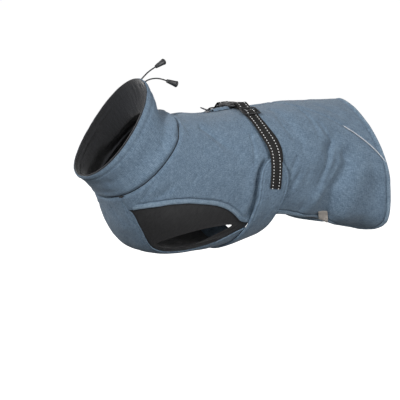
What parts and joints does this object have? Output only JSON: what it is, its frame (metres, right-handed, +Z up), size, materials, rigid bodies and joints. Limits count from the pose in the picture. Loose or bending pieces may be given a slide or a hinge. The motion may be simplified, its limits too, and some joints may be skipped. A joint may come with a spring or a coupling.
{
  "type": "dog winter coat",
  "caption": "Hollow dog winter coat as worn: funnel collar with a drawcord, leg holes lined with stretch cloth, belly strap, buckled belt over the back and a lead zip.",
  "frame": {"origin": "on the ridge of the back just behind the belt, where the wearer's back carries the coat", "axes": "+X towards the tail edge, -X towards the collar, -Y the coat's left side (the near side in the picture), +Z up"},
  "size_m": [0.6159, 0.2222, 0.3415],
  "materials": {
    "softshell": "heathered blue-grey softshell",
    "softshell_edge": "the same cloth, folded and stitched",
    "fleece_lining": "dark fleece",
    "stretch_cloth": "smooth black stretch cloth",
    "webbing": "black woven webbing with light stitches",
    "moulded_plastic": "black, moulded",
    "reflective_piping": "light grey reflective",
    "label_cloth": "bare grey woven tape",
    "zip_metal": "dark plated",
    "cord": "dark grey braid",
    "cord_end": "dark grey, moulded"
  },
  "bodies": {
    "coat": {"back_yoke": "softshell", "belly_strap": "softshell", "belt_webbing_left": "webbing", "belt_webbing_right": "webbing", "buckle_female": "moulded_plastic", "buckle_male": "moulded_plastic", "chest_panel": "softshell", "collar": "softshell", "collar_lining": "fleece_lining", "cord_end_lower": "cord_end", "cord_end_upper": "cord_end", "drawcord_lower": "cord", "drawcord_upper": "cord", "eyelet_lower": "zip_metal", "eyelet_upper": "zip_metal", "hem_edging_left": "softshell_edge", "hem_edging_right": "softshell_edge", "hem_edging_tail": "softshell_edge", "label_tab": "label_cloth", "leg_insert_left": "stretch_cloth", "leg_insert_right": "stretch_cloth", "leg_piping_left": "softshell_edge", "leg_piping_right": "softshell_edge", "reflective_piping_left": "reflective_piping", "reflective_piping_right": "reflective_piping", "side_panel_left": "softshell", "side_panel_right": "softshell", "tri_glide_left": "moulded_plastic", "tri_glide_right": "moulded_plastic", "zip_flap": "softshell", "zip_slider": "zip_metal", "zip_tape": "webbing"},
    "zip_pull": {"zip_pull": "zip_metal"}
  },
  "joints": [
    {"name": "pull_swing", "type": "hinge", "parent": "coat", "child": "zip_pull", "pos_m": [-0.11935, 0, -0.00305], "axis": [0, 1, 0], "range_deg": [-14, 120]}
  ]
}
